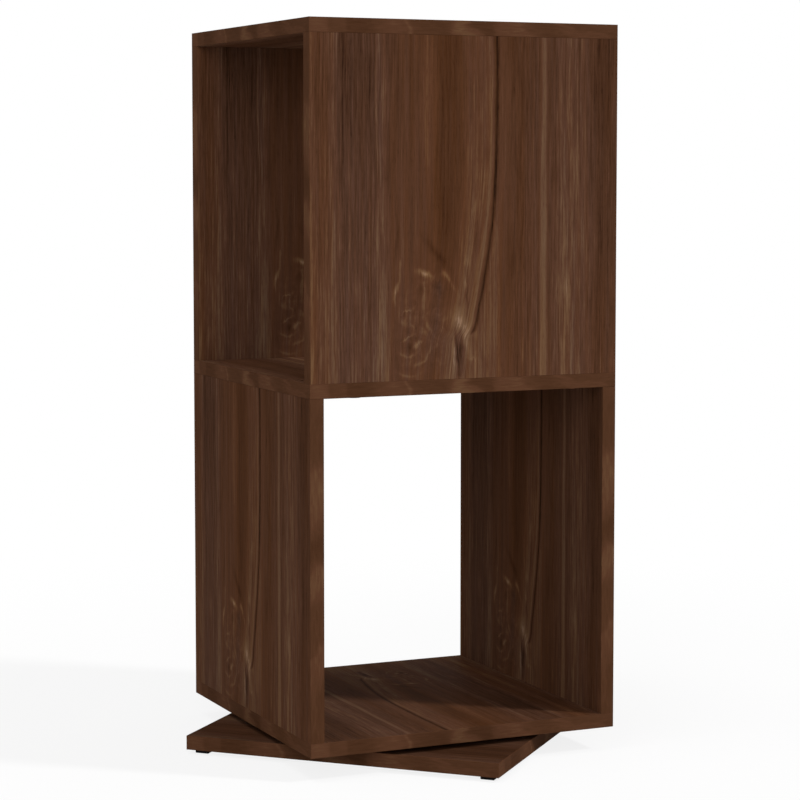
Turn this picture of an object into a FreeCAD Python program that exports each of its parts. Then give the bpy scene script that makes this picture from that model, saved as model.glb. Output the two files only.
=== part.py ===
import FreeCAD, Part
import os
import re
import Sketcher

# Rotating display cabinet: a square column of two open bays, a quarter turn apart,
# that turns on a ball bearing over a square base plate on four pads.
# Millimetres and degrees. +Z is up, the origin is on the turning axis at floor level,
# and the closed face of the upper bay looks towards -Y.

sizes = {
    # boards
    "cabinet_width": 345.0,
    "cabinet_depth": 340.0,
    "bay_height": 345.5,
    "board_thickness": 15.0,
    "base_side": 345.0,
    # edge bands
    "band_thickness": 1.0,
    "band_round": 0.5,
    # foot pads and their nails
    "foot_side": 15.0,
    "foot_height": 4.5,
    "foot_inset": 7.0,
    "foot_round": 1.0,
    "nail_head_diameter": 6.0,
    "nail_head_thickness": 0.8,
    "nail_shank_diameter": 1.8,
    "nail_shank_length": 11.0,
    "nail_sink": 1.5,
    "nail_head_clearance": 0.2,
    # ball bearing
    "bearing_side": 150.0,
    "bearing_corner_radius": 10.0,
    "bearing_plate_thickness": 1.2,
    "race_diameter": 110.0,
    "ball_diameter": 3.5,
    "ball_clearance": 0.1,
    "race_depth": 0.3,
    "cage_width": 14.0,
    "cage_thickness": 1.0,
    "cage_pocket_clearance": 0.15,
    # pivot rivet
    "rivet_diameter": 12.0,
    "rivet_bore_diameter": 9.0,
    "rivet_flange_diameter": 20.0,
    "rivet_flange_thickness": 1.0,
    "rivet_running_clearance": 0.05,
    "rivet_end_clearance": 0.1,
    "rivet_recess_clearance": 0.5,
    # bearing screws
    "plate_screw_inset": 10.0,
    "plate_screw_diameter": 3.5,
    "plate_screw_head_diameter": 7.0,
    "plate_screw_length": 13.0,
    "plate_screw_tip": 3.0,
    "plate_screw_slot_width": 0.9,
    "plate_screw_slot_length": 4.0,
    "plate_screw_slot_depth": 1.2,
    "access_hole_diameter": 16.0,
    # joint screws and their covers
    "fixing_inset": 50.0,
    "joint_screw_head_diameter": 10.0,
    "joint_screw_neck_diameter": 7.0,
    "joint_screw_thread_diameter": 5.0,
    "joint_screw_length": 50.0,
    "joint_screw_tip": 4.0,
    "joint_screw_socket_width": 4.0,
    "joint_screw_socket_depth": 3.0,
    "screw_cover_diameter": 14.0,
    "cover_thickness": 0.4,
    # dowels
    "dowel_pitch": 32.0,
    "dowel_diameter": 8.0,
    "dowel_length": 30.0,
    "dowel_face_depth": 10.0,
    "dowel_chamfer": 1.0,
    # cam fittings of the top panel
    "cam_diameter": 15.0,
    "cam_height": 12.0,
    "cam_reach": 34.0,
    "cam_mouth_diameter": 8.0,
    "cam_slot_width": 1.5,
    "cam_slot_length": 9.0,
    "cam_slot_depth": 2.0,
    "cam_bolt_thread_diameter": 6.0,
    "cam_bolt_thread_length": 11.0,
    "cam_bolt_neck_diameter": 5.0,
    "cam_bolt_head_diameter": 7.0,
    "cam_bolt_head_length": 3.0,
    "cam_cover_diameter": 18.0,
    # fits shared by all bores
    "bore_fit": 0.05,
    "bore_end_room": 0.5,
    "cut_overrun": 1.0,
}
# Degrees by which the base plate is turned against the cabinet at rest
angles = {
    "rest_turn_angle": 45.0,
}
named = {**sizes, **angles}
ballCount = 24
quarterTurn = 90.0
screwHeadAngle = 90.0
roundLimitShare = 0.9

doc = FreeCAD.newDocument("RotatingDisplayCabinet")
sheet = doc.addObject("Spreadsheet::Sheet", "Sizes")
for row, (alias, value) in enumerate(named.items(), 1):
    sheet.set("A%d" % row, alias)
    sheet.set("B%d" % row, str(value))
    sheet.setAlias("B%d" % row, alias)
doc.recompute()

nodes = []

# Heights and places, as expressions in the sheet's names; the balls and races set the gap under the cabinet
turntableGap = "(2 * bearing_plate_thickness + ball_diameter + 2 * ball_clearance - 2 * race_depth)"
baseBottom = "foot_height"
baseTop = "(foot_height + board_thickness)"
cabinetBottom = "(%s + %s)" % (baseTop, turntableGap)
lowerBayFloor = "(%s + board_thickness)" % cabinetBottom
shelfBottom = "(%s + bay_height)" % lowerBayFloor
shelfTop = "(%s + board_thickness)" % shelfBottom
topBottom = "(%s + bay_height)" % shelfTop
sideJointX = "(cabinet_width / 2 - board_thickness / 2)"
faceJointY = "(cabinet_depth / 2 - board_thickness / 2)"
fixingX = "(cabinet_width / 2 - fixing_inset)"
fixingY = "(cabinet_depth / 2 - fixing_inset)"
dowelX = "(cabinet_width / 2 - fixing_inset - dowel_pitch)"
dowelY = "(cabinet_depth / 2 - fixing_inset - dowel_pitch)"
plateScrewPlace = "(bearing_side / 2 - plate_screw_inset)"
footPlace = "(base_side / 2 - foot_inset - foot_side / 2)"

# Bore sizes
dowelBore = "(dowel_diameter + 2 * bore_fit)"
dowelFaceBoreDepth = "(dowel_face_depth + bore_end_room)"
dowelEdgeBoreDepth = "(dowel_length - dowel_face_depth + bore_end_room)"
neckBore = "(joint_screw_neck_diameter + 2 * bore_fit)"
headBore = "(joint_screw_head_diameter + 2 * bore_fit)"
threadBore = "(joint_screw_thread_diameter + 2 * bore_fit)"
threadBoreDepth = "(joint_screw_length - board_thickness + bore_end_room)"
plateScrewBore = "(plate_screw_diameter + 2 * bore_fit)"
plateScrewHeadBore = "(plate_screw_head_diameter + 2 * bore_fit)"
plateScrewBoreDepth = "(plate_screw_length - bearing_plate_thickness + bore_end_room)"
headInBoard = plateScrewHeadBore + " - 2 * bearing_plate_thickness"
plateScrewBoardMouth = "max(%s; %s + 2 * bore_fit)" % (headInBoard, plateScrewBore)
rivetRecess = "(rivet_flange_diameter + 2 * rivet_recess_clearance)"
rivetRecessDepth = "(rivet_flange_thickness + rivet_recess_clearance)"


def sheetwords(text):
    return re.sub(r"[a-z_]+", lambda word: ("Sizes." if word.group() in named else "") + word.group(), text)


def tie(thing, **properties):
    for path, text in properties.items():
        thing.setExpression(path.replace("__", "."), sheetwords(text))


def place(thing, x="0", y="0", z="0", turn="0", axis=(0, 0, 1)):
    rotation = FreeCAD.Rotation(FreeCAD.Vector(*axis), quarterTurn)
    thing.Placement = FreeCAD.Placement(FreeCAD.Vector(), rotation)
    tie(thing, Placement__Base__x=x, Placement__Base__y=y, Placement__Base__z=z)
    tie(thing, Placement__Rotation__Angle=turn)
    return thing


def node(thing, name):
    thing.Label = name
    nodes.append(thing)
    return thing


# Sketches and features of a body

def newbody(name):
    return doc.addObject("PartDesign::Body", name)


def sketch(body, name, role, level="0"):
    drawing = body.newObject("Sketcher::SketchObject", name)
    planes = {feature.Role: feature for feature in body.Origin.OriginFeatures}
    drawing.AttachmentSupport = [(planes[role], "")]
    drawing.MapMode = "FlatFace"
    tie(drawing, AttachmentOffset__Base__z=level)
    return drawing


def limit(drawing, constraint, text):
    index = drawing.addConstraint(constraint)
    drawing.setExpression("Constraints[%d]" % index, sheetwords(text))


def rectangle(drawing, width, height):
    start = sizes["board_thickness"]
    points = [FreeCAD.Vector(x * start, y * start) for x, y in ((-1, -1), (1, -1), (1, 1), (-1, 1))]
    for index in range(4):
        drawing.addGeometry(Part.LineSegment(points[index], points[(index + 1) % 4]))
    for index in range(4):
        drawing.addConstraint(Sketcher.Constraint("Coincident", index, 2, (index + 1) % 4, 1))
        drawing.addConstraint(Sketcher.Constraint(("Horizontal", "Vertical")[index % 2], index))
    drawing.addConstraint(Sketcher.Constraint("Symmetric", 0, 1, 2, 1, -1, 1))
    limit(drawing, Sketcher.Constraint("DistanceX", 0, 1, 0, 2, start), width)
    limit(drawing, Sketcher.Constraint("DistanceY", 1, 1, 1, 2, start), height)


# A spot is (side, distance, side, distance): a side of 0 keeps the centre on that axis
def circle(drawing, spot, diameter):
    start = sizes["board_thickness"]
    sideX, distanceX, sideY, distanceY = spot
    centre = FreeCAD.Vector(sideX * start, sideY * start)
    index = drawing.addGeometry(Part.Circle(centre, FreeCAD.Vector(0, 0, 1), start / 2))
    for word, side, distance, onAxis in (("X", sideX, distanceX, -2), ("Y", sideY, distanceY, -1)):
        if side == 0:
            drawing.addConstraint(Sketcher.Constraint("PointOnObject", index, 3, onAxis))
        else:
            ends = (-1, 1, index, 3) if side > 0 else (index, 3, -1, 1)
            limit(drawing, Sketcher.Constraint("Distance" + word, *ends, start), distance)
    limit(drawing, Sketcher.Constraint("Diameter", index, start), diameter)


def corners(x, y):
    return [(sideX, x, sideY, y) for sideX in (1, -1) for sideY in (1, -1)]


centreSpot = [(0, "0", 0, "0")]


def pad(body, name, role, width, height, length):
    drawing = sketch(body, name + "Outline", role)
    rectangle(drawing, width, height)
    board = body.newObject("PartDesign::Pad", name)
    board.Profile = drawing
    tie(board, Length=length)
    doc.recompute()
    return board


def mustcut(body, feature, volumeBefore):
    doc.recompute()
    if not feature.Shape.Volume < volumeBefore:
        raise ValueError("%s of %s cuts nothing" % (feature.Name, body.Name))


# Round bores from one plane into the solid; without a depth they go right through
def bores(body, name, role, level, spots, diameter, depth=None, reverse=False, mouth=None):
    doc.recompute()
    volumeBefore = body.Shape.Volume
    drawing = sketch(body, name + "Spots", role, level)
    for spot in spots:
        circle(drawing, spot, diameter)
    doc.recompute()
    bore = body.newObject("PartDesign::Hole", name)
    bore.Profile = drawing
    bore.Threaded = False
    bore.DrillPoint = "Flat"
    bore.Reversed = reverse
    bore.DepthType = "ThroughAll" if depth is None else "Dimension"
    tie(bore, Diameter=diameter)
    if depth is not None:
        tie(bore, Depth=depth)
    if mouth is not None:
        bore.HoleCutType = "Countersink"
        bore.HoleCutCustomValues = True
        bore.HoleCutCountersinkAngle = screwHeadAngle
        tie(bore, HoleCutDiameter=mouth)
    mustcut(body, bore, volumeBefore)


def roundedges(body, feature, wanted, radius):
    doc.recompute()
    names = ["Edge%d" % index for index, edge in enumerate(feature.Shape.Edges, 1) if wanted(edge)]
    rounding = body.newObject("PartDesign::Fillet", feature.Name + "Round")
    rounding.Base = (feature, names)
    tie(rounding, Radius=radius)
    doc.recompute()


# Solids from primitives

def cylinder(name, diameter, length, **where):
    solid = doc.addObject("Part::Cylinder", name)
    tie(solid, Radius=diameter + " / 2", Height=length)
    return place(solid, **where)


def cone(name, lowDiameter, highDiameter, length, **where):
    solid = doc.addObject("Part::Cone", name)
    tie(solid, Radius1=lowDiameter + " / 2", Radius2=highDiameter + " / 2", Height=length)
    return place(solid, **where)


def block(name, length, width, height, **where):
    solid = doc.addObject("Part::Box", name)
    tie(solid, Length=length, Width=width, Height=height)
    return place(solid, **where)


def fuse(name, solids):
    whole = doc.addObject("Part::MultiFuse", name)
    whole.Shapes = solids
    return whole


def cut(name, solid, tool):
    result = doc.addObject("Part::Cut", name)
    result.Base = solid
    result.Tool = tool
    return result


def group(name, solids):
    whole = doc.addObject("Part::Compound", name)
    whole.Links = solids
    return whole


def mirrored(name, solid, normal):
    copy = doc.addObject("Part::Mirroring", name)
    copy.Source = solid
    copy.Normal = FreeCAD.Vector(*normal)
    return copy


# One solid and its three mirror images across the two upright middle planes
def fourfold(name, solid):
    across = mirrored(name + "Across", solid, (1, 0, 0))
    behind = mirrored(name + "Behind", solid, (0, 1, 0))
    opposite = mirrored(name + "Opposite", across, (0, 1, 0))
    return group(name, [solid, across, behind, opposite])


# Edge bands: thin strips with eased outer edges, drawn facing -Y and turned to their side
def band(name, run, rise, x, y, z, turn, easeEnds=False):
    body = newbody(name)
    strip = pad(body, name + "Strip", "XZ_Plane", run, rise, "band_thickness")
    outside = strip.Shape.BoundBox.YMin
    upright = strip.Shape.BoundBox.ZLength > strip.Shape.BoundBox.XLength

    def outer(edge):
        onFace = abs(edge.BoundBox.YMin - outside) + abs(edge.BoundBox.YMax - outside) < sizes["band_round"]
        alongLength = (edge.BoundBox.ZLength > edge.BoundBox.XLength) == upright
        return onFace and (easeEnds or alongLength)

    roundedges(body, strip, outer, "min(band_round; band_thickness * %g)" % roundLimitShare)
    return place(body, x, y, z, str(turn))


def platebands(name, label, width, depth, middle):
    acrossX = width + " / 2 - band_thickness"
    acrossY = depth + " / 2 - band_thickness"
    between = depth + " - 2 * band_thickness"
    return node(group(name, [
        band(name + "Front", width, "board_thickness", "0", "-(%s)" % acrossY, middle, 0, True),
        band(name + "Back", width, "board_thickness", "0", acrossY, middle, 2 * quarterTurn, True),
        band(name + "Left", between, "board_thickness", "-(%s)" % acrossX, "0", middle, -quarterTurn),
        band(name + "Right", between, "board_thickness", acrossX, "0", middle, quarterTurn),
    ]), label)


# A lying board without its bands, from its underside up
def plate(name, label, width, depth, bottom, turn="0"):
    body = newbody(name)
    pad(body, name + "Board", "XY_Plane", width + " - 2 * band_thickness", depth + " - 2 * band_thickness",
        "board_thickness")
    return node(place(body, z=bottom, turn=turn), label)


# Base plate and its bands, turned on the floor against the cabinet

basePlate = plate("BasePlate", "base_plate", "base_side", "base_side", baseBottom, "rest_turn_angle")
bores(basePlate, "RivetRecess", "XY_Plane", "board_thickness", centreSpot, rivetRecess, rivetRecessDepth)
bores(basePlate, "LowerScrewBores", "XY_Plane", "board_thickness", corners(plateScrewPlace, plateScrewPlace),
      plateScrewBore, plateScrewBoreDepth, mouth=plateScrewBoardMouth)
accessPlace = plateScrewPlace + " * sqrt(2)"
accessSpots = []
for side in (1, -1):
    accessSpots += [(side, accessPlace, 0, "0"), (0, "0", side, accessPlace)]
bores(basePlate, "AccessHoles", "XY_Plane", "board_thickness", accessSpots, "access_hole_diameter")
nailBore = "nail_shank_diameter + 2 * bore_fit"
nailBoreDepth = "nail_sink + nail_head_thickness + nail_shank_length - foot_height + bore_end_room"
nailHeadBore = "nail_head_diameter + 2 * nail_head_clearance"
nailHeadBoreDepth = "nail_sink + nail_head_thickness"
bores(basePlate, "NailBores", "XY_Plane", "0", corners(footPlace, footPlace),
      nailBore, nailBoreDepth, reverse=True)

baseBands = platebands("BaseBands", "base_plate_edge_bands", "base_side", "base_side",
                       baseBottom + " + board_thickness / 2")
place(baseBands, turn="rest_turn_angle")

# Foot pads, one under each corner of the base plate, with a sunk nail each

def lowedge(edge):
    return edge.BoundBox.ZMin < sizes["foot_round"]


for index, side in enumerate(("rear", "left", "front", "right")):
    name = "Foot" + side.capitalize()
    foot = newbody(name)
    rubber = pad(foot, name + "Pad", "XY_Plane", "foot_side", "foot_side", "foot_height")
    roundedges(foot, rubber, lowedge, "foot_round")
    bores(foot, name + "NailBore", "XY_Plane", "0", centreSpot, nailBore, reverse=True)
    bores(foot, name + "HeadBore", "XY_Plane", "0", centreSpot, nailHeadBore, nailHeadBoreDepth,
          reverse=True)
    heading = "(rest_turn_angle + %g)" % (quarterTurn / 2 + index * quarterTurn)
    reach = footPlace + " * sqrt(2)"
    place(foot, "%s * cos(%s)" % (reach, heading), "%s * sin(%s)" % (reach, heading), turn="rest_turn_angle")
    node(foot, "foot_pad_" + side)

nailHead = cylinder("NailHead", "nail_head_diameter", "nail_head_thickness", x=footPlace, y=footPlace,
                    z="nail_sink")
nailShank = cylinder("NailShank", "nail_shank_diameter", "nail_shank_length", x=footPlace, y=footPlace,
                     z="nail_sink + nail_head_thickness")
nails = fourfold("FootNails", fuse("FootNail", [nailHead, nailShank]))
node(place(nails, turn="rest_turn_angle"), "foot_nails")


# Bearing plates: the race is a shallow round groove on the side that faces the balls

def bearingplate(name, label, bore, z, turn, axis):
    body = newbody(name)
    steel = pad(body, name + "Steel", "XY_Plane", "bearing_side", "bearing_side", "bearing_plate_thickness")

    def upright(edge):
        return edge.BoundBox.ZLength > max(edge.BoundBox.XLength, edge.BoundBox.YLength)

    roundedges(body, steel, upright, "bearing_corner_radius")
    bores(body, name + "Centre", "XY_Plane", "bearing_plate_thickness", centreSpot, bore)
    bores(body, name + "ScrewHoles", "XY_Plane", "bearing_plate_thickness",
          corners(plateScrewPlace, plateScrewPlace), plateScrewBore, mouth=plateScrewHeadBore)
    volumeBefore = body.Shape.Volume
    drawing = sketch(body, name + "RaceOutline", "XZ_Plane")
    circle(drawing, (1, "race_diameter / 2", 1, turntableGap + " / 2"), "ball_diameter + 2 * ball_clearance")
    race = body.newObject("PartDesign::Groove", name + "Race")
    race.Profile = drawing
    race.ReferenceAxis = (drawing, ["V_Axis"])
    mustcut(body, race, volumeBefore)
    return node(place(body, z=z, turn=turn, axis=axis), label)


bearingplate("LowerPlate", "lower_bearing_plate", "rivet_diameter + 2 * bore_fit", baseTop,
             "rest_turn_angle", (0, 0, 1))
bearingplate("UpperPlate", "upper_bearing_plate", "rivet_diameter + 2 * rivet_running_clearance",
             cabinetBottom, str(2 * quarterTurn), (1, 0, 0))

# Pivot rivet: a tube with a flange under the lower plate and one over the upper plate

rivetBottom = "(%s - rivet_flange_thickness)" % baseTop
rivetShoulder = "(%s + rivet_end_clearance)" % cabinetBottom
rivetLength = "(%s + rivet_end_clearance + 2 * rivet_flange_thickness)" % turntableGap
rivetSolid = fuse("RivetSolid", [
    cylinder("RivetTube", "rivet_diameter", rivetLength, z=rivetBottom),
    cylinder("RivetLowFlange", "rivet_flange_diameter", "rivet_flange_thickness", z=rivetBottom),
    cylinder("RivetHighFlange", "rivet_flange_diameter", "rivet_flange_thickness", z=rivetShoulder),
])
rivetBore = cylinder("RivetBore", "rivet_bore_diameter", rivetLength + " + 2 * cut_overrun",
                     z=rivetBottom + " - cut_overrun")
node(cut("PivotRivet", rivetSolid, rivetBore), "pivot_rivet")

# Ball cage and balls, halfway up the gap

ballLevel = "(%s + %s / 2)" % (baseTop, turntableGap)
cage = newbody("BallCage")
ringOutline = sketch(cage, "RingOutline", "XY_Plane")
circle(ringOutline, centreSpot[0], "race_diameter + cage_width")
circle(ringOutline, centreSpot[0], "race_diameter - cage_width")
ring = cage.newObject("PartDesign::Pad", "Ring")
ring.Profile = ringOutline
tie(ring, Length="cage_thickness")
doc.recompute()
ringVolume = ring.Shape.Volume
pocketOutline = sketch(cage, "PocketOutline", "XY_Plane")
circle(pocketOutline, (1, "race_diameter / 2", 0, "0"), "ball_diameter + 2 * cage_pocket_clearance")
pocket = cage.newObject("PartDesign::Pocket", "BallPocket")
pocket.Profile = pocketOutline
pocket.Type = "ThroughAll"
pocket.Reversed = True
mustcut(cage, pocket, ringVolume)
pockets = cage.newObject("PartDesign::PolarPattern", "BallPockets")
pockets.Originals = [pocket]
pockets.Axis = (pocketOutline, ["N_Axis"])
pockets.Occurrences = ballCount
cage.Tip = pockets
mustcut(cage, pockets, pocket.Shape.Volume)
node(place(cage, z=ballLevel + " - cage_thickness / 2"), "ball_cage")

balls = []
for index in range(ballCount):
    ball = doc.addObject("Part::Sphere", "Ball%d" % index)
    tie(ball, Radius="ball_diameter / 2")
    heading = 4 * quarterTurn * index / ballCount
    place(ball, "race_diameter / 2 * cos(%g)" % heading, "race_diameter / 2 * sin(%g)" % heading, ballLevel)
    balls.append(ball)
node(group("BearingBalls", balls), "bearing_balls")


# Bearing screws: countersunk, flush with the plates, drawn head up with a crossed slot

def platescrews(name, label, z, turn, axis):
    headLength = "(plate_screw_head_diameter - plate_screw_diameter) / 2"
    where = {"x": plateScrewPlace, "y": plateScrewPlace}
    head = cone(name + "Head", "plate_screw_diameter", "plate_screw_head_diameter", headLength,
                z="-(%s)" % headLength, **where)
    shank = cylinder(name + "Shank", "plate_screw_diameter",
                     "plate_screw_length - plate_screw_tip - " + headLength,
                     z="plate_screw_tip - plate_screw_length", **where)
    tip = cone(name + "Tip", "0", "plate_screw_diameter", "plate_screw_tip",
               z="-plate_screw_length", **where)
    slots = []
    for word, length, width in (("Along", "plate_screw_slot_length", "plate_screw_slot_width"),
                                ("Across", "plate_screw_slot_width", "plate_screw_slot_length")):
        slots.append(block(name + "Slot" + word, length, width, "plate_screw_slot_depth + cut_overrun",
                           x=plateScrewPlace + " - %s / 2" % length, y=plateScrewPlace + " - %s / 2" % width,
                           z="-plate_screw_slot_depth"))
    screw = cut(name + "Screw", fuse(name + "Solid", [head, shank, tip]), fuse(name + "Slots", slots))
    return node(place(fourfold(name, screw), z=z, turn=turn, axis=axis), label)


platescrews("LowerScrews", "lower_bearing_screws", baseTop + " + bearing_plate_thickness", "rest_turn_angle",
            (0, 0, 1))
platescrews("UpperScrews", "upper_bearing_screws", cabinetBottom + " - bearing_plate_thickness",
            str(2 * quarterTurn), (1, 0, 0))

# Bottom panel: bearing below, two side panels above

bottomPanel = plate("BottomPanel", "bottom_panel", "cabinet_width", "cabinet_depth", cabinetBottom)
bores(bottomPanel, "PivotRecess", "XY_Plane", "0", centreSpot, rivetRecess,
      rivetRecessDepth + " + rivet_end_clearance", reverse=True)
bores(bottomPanel, "UpperScrewBores", "XY_Plane", "0", corners(plateScrewPlace, plateScrewPlace),
      plateScrewBore, plateScrewBoreDepth, reverse=True, mouth=plateScrewBoardMouth)
bores(bottomPanel, "SideScrewBores", "XY_Plane", "0", corners(sideJointX, fixingY), neckBore, reverse=True,
      mouth=headBore)
bores(bottomPanel, "SideDowelBores", "XY_Plane", "board_thickness", corners(sideJointX, dowelY), dowelBore,
      dowelFaceBoreDepth)
platebands("BottomBands", "bottom_panel_edge_bands", "cabinet_width", "cabinet_depth",
           cabinetBottom + " + board_thickness / 2")

# Middle shelf: side panels below, front and back panels above

shelf = plate("MiddleShelf", "middle_shelf", "cabinet_width", "cabinet_depth", shelfBottom)
bores(shelf, "ShelfSideScrewBores", "XY_Plane", "board_thickness", corners(sideJointX, fixingY), neckBore,
      mouth=headBore)
bores(shelf, "ShelfSideDowelBores", "XY_Plane", "0", corners(sideJointX, dowelY), dowelBore,
      dowelFaceBoreDepth, reverse=True)
bores(shelf, "ShelfFaceScrewBores", "XY_Plane", "0", corners(fixingX, faceJointY), neckBore, reverse=True,
      mouth=headBore)
bores(shelf, "ShelfFaceDowelBores", "XY_Plane", "board_thickness", corners(dowelX, faceJointY), dowelBore,
      dowelFaceBoreDepth)
platebands("ShelfBands", "middle_shelf_edge_bands", "cabinet_width", "cabinet_depth",
           shelfBottom + " + board_thickness / 2")

# Top panel: front and back panels below, nothing through its upper face

topPanel = plate("TopPanel", "top_panel", "cabinet_width", "cabinet_depth", topBottom)
bores(topPanel, "CamBoltBores", "XY_Plane", "0", corners(fixingX, faceJointY),
      "cam_bolt_thread_diameter + 2 * bore_fit", "cam_bolt_thread_length + bore_end_room", reverse=True)
bores(topPanel, "TopDowelBores", "XY_Plane", "0", corners(dowelX, faceJointY), dowelBore, dowelFaceBoreDepth,
      reverse=True)
platebands("TopBands", "top_panel_edge_bands", "cabinet_width", "cabinet_depth",
           topBottom + " + board_thickness / 2")

# Side panels of the lower bay, drawn as the left one and turned half round for the right one

lowerMiddle = "(%s + bay_height / 2)" % lowerBayFloor
upperMiddle = "(%s + bay_height / 2)" % shelfTop
for side, sign, turn in (("Left", "-", 0), ("Right", "", 2 * quarterTurn)):
    panel = newbody("Lower%sPanel" % side)
    pad(panel, "Lower%sBoard" % side, "YZ_Plane", "cabinet_depth - 2 * band_thickness", "bay_height",
        "board_thickness")
    for end, level, reverse in (("Foot", "-bay_height / 2", True), ("Head", "bay_height / 2", False)):
        screwSpots = [(1, "board_thickness / 2", sideY, fixingY) for sideY in (1, -1)]
        dowelSpots = [(1, "board_thickness / 2", sideY, dowelY) for sideY in (1, -1)]
        bores(panel, "Lower%s%sScrewBores" % (side, end), "XY_Plane", level, screwSpots, threadBore,
              threadBoreDepth, reverse)
        bores(panel, "Lower%s%sDowelBores" % (side, end), "XY_Plane", level, dowelSpots, dowelBore,
              dowelEdgeBoreDepth, reverse)
    place(panel, sign + "(cabinet_width / 2)", z=lowerMiddle, turn=str(turn))
    node(panel, "lower_%s_panel" % side.lower())
    edgeY = "(cabinet_depth / 2 - band_thickness)"
    edges = [
        band("Lower%sFrontBand" % side, "board_thickness", "bay_height", sign + sideJointX, "-" + edgeY,
             lowerMiddle, 0),
        band("Lower%sBackBand" % side, "board_thickness", "bay_height", sign + sideJointX, edgeY,
             lowerMiddle, 2 * quarterTurn),
    ]
    node(group("Lower%sBands" % side, edges), "lower_%s_edge_bands" % side.lower())

# Front and back panels of the upper bay, drawn as the front one and turned half round for the back one

camLevel = "(bay_height / 2 - cam_reach)"
for side, sign, turn in (("Front", "-", 0), ("Back", "", 2 * quarterTurn)):
    panel = newbody("Upper%sPanel" % side)
    pad(panel, "Upper%sBoard" % side, "XZ_Plane", "cabinet_width - 2 * band_thickness", "bay_height",
        "board_thickness")
    footSpots = [(sideX, fixingX, -1, "board_thickness / 2") for sideX in (1, -1)]
    dowelSpots = [(sideX, dowelX, -1, "board_thickness / 2") for sideX in (1, -1)]
    camSpots = [(sideX, fixingX, 1, camLevel) for sideX in (1, -1)]
    bores(panel, "Upper%sFootScrewBores" % side, "XY_Plane", "-bay_height / 2", footSpots, threadBore,
          threadBoreDepth, True)
    bores(panel, "Upper%sFootDowelBores" % side, "XY_Plane", "-bay_height / 2", dowelSpots, dowelBore,
          dowelEdgeBoreDepth, True)
    bores(panel, "Upper%sHeadDowelBores" % side, "XY_Plane", "bay_height / 2", dowelSpots, dowelBore,
          dowelEdgeBoreDepth)
    bores(panel, "Upper%sCamBoltBores" % side, "XY_Plane", "bay_height / 2", footSpots, "cam_mouth_diameter",
          "cam_reach + cam_bolt_head_length / 2 + bore_end_room")
    bores(panel, "Upper%sCamBores" % side, "XZ_Plane", "0", camSpots, "cam_diameter + 2 * bore_fit",
          "cam_height + bore_end_room", True)
    place(panel, y=sign + "(cabinet_depth / 2 - board_thickness)", z=upperMiddle, turn=str(turn))
    node(panel, "upper_%s_panel" % side.lower())
    edgeX = "(cabinet_width / 2 - band_thickness)"
    edges = [
        band("Upper%sLeftBand" % side, "board_thickness", "bay_height", "-" + edgeX, sign + faceJointY,
             upperMiddle, -quarterTurn),
        band("Upper%sRightBand" % side, "board_thickness", "bay_height", edgeX, sign + faceJointY,
             upperMiddle, quarterTurn),
    ]
    node(group("Upper%sBands" % side, edges), "upper_%s_edge_bands" % side.lower())


# Joint screws: flat countersunk head with a hexagon socket, drawn head up at the top of their board

def jointscrews(name, label, x, y, z, headDown):
    headLength = "(joint_screw_head_diameter - joint_screw_neck_diameter) / 2"
    neckLength = "(board_thickness - %s)" % headLength
    threadLength = "(joint_screw_length - board_thickness - joint_screw_tip)"
    head = cone(name + "Head", "joint_screw_neck_diameter", "joint_screw_head_diameter", headLength,
                z="-(%s)" % headLength)
    neck = cylinder(name + "Neck", "joint_screw_neck_diameter", neckLength, z="-board_thickness")
    thread = cylinder(name + "Thread", "joint_screw_thread_diameter", threadLength,
                      z="joint_screw_tip - joint_screw_length")
    tip = cone(name + "Tip", "(joint_screw_thread_diameter / 2)", "joint_screw_thread_diameter",
               "joint_screw_tip", z="-joint_screw_length")
    socket = doc.addObject("Part::Prism", name + "Socket")
    socket.Polygon = 6
    tie(socket, Circumradius="joint_screw_socket_width / sqrt(3)")
    tie(socket, Height="joint_screw_socket_depth + cut_overrun")
    place(socket, z="-joint_screw_socket_depth")
    screw = cut(name + "Screw", fuse(name + "Solid", [head, neck, thread, tip]), socket)
    place(screw, x, y, z, str(2 * quarterTurn if headDown else 0), (1, 0, 0))
    return node(fourfold(name, screw), label)


def covers(name, label, diameter, x, y, z):
    return node(fourfold(name, cylinder(name + "Disc", diameter, "cover_thickness", x=x, y=y, z=z)), label)


def dowels(name, label, x, y, bottom):
    straight = "(dowel_length - 2 * dowel_chamfer)"
    slimDiameter = "(dowel_diameter - 2 * dowel_chamfer)"
    where = {"x": x, "y": y}
    solid = fuse(name + "Dowel", [
        cone(name + "Low", slimDiameter, "dowel_diameter", "dowel_chamfer", z=bottom, **where),
        cylinder(name + "Straight", "dowel_diameter", straight, z=bottom + " + dowel_chamfer", **where),
        cone(name + "High", "dowel_diameter", slimDiameter, "dowel_chamfer",
             z=bottom + " + dowel_length - dowel_chamfer", **where),
    ])
    return node(fourfold(name, solid), label)


jointscrews("BottomScrews", "bottom_joint_screws", sideJointX, fixingY, cabinetBottom, True)
jointscrews("ShelfLowerScrews", "shelf_lower_screws", sideJointX, fixingY, shelfTop, False)
jointscrews("ShelfUpperScrews", "shelf_upper_screws", fixingX, faceJointY, shelfBottom, True)
covers("ShelfLowerCovers", "shelf_lower_covers", "screw_cover_diameter", sideJointX, fixingY, shelfTop)
covers("ShelfUpperCovers", "shelf_upper_covers", "screw_cover_diameter", fixingX, faceJointY,
       shelfBottom + " - cover_thickness")
dowels("BottomDowels", "bottom_joint_dowels", sideJointX, dowelY, lowerBayFloor + " - dowel_face_depth")
dowels("ShelfLowerDowels", "shelf_lower_dowels", sideJointX, dowelY,
       shelfBottom + " + dowel_face_depth - dowel_length")
dowels("ShelfUpperDowels", "shelf_upper_dowels", dowelX, faceJointY, shelfTop + " - dowel_face_depth")
dowels("TopDowels", "top_joint_dowels", dowelX, faceJointY, topBottom + " + dowel_face_depth - dowel_length")

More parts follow.
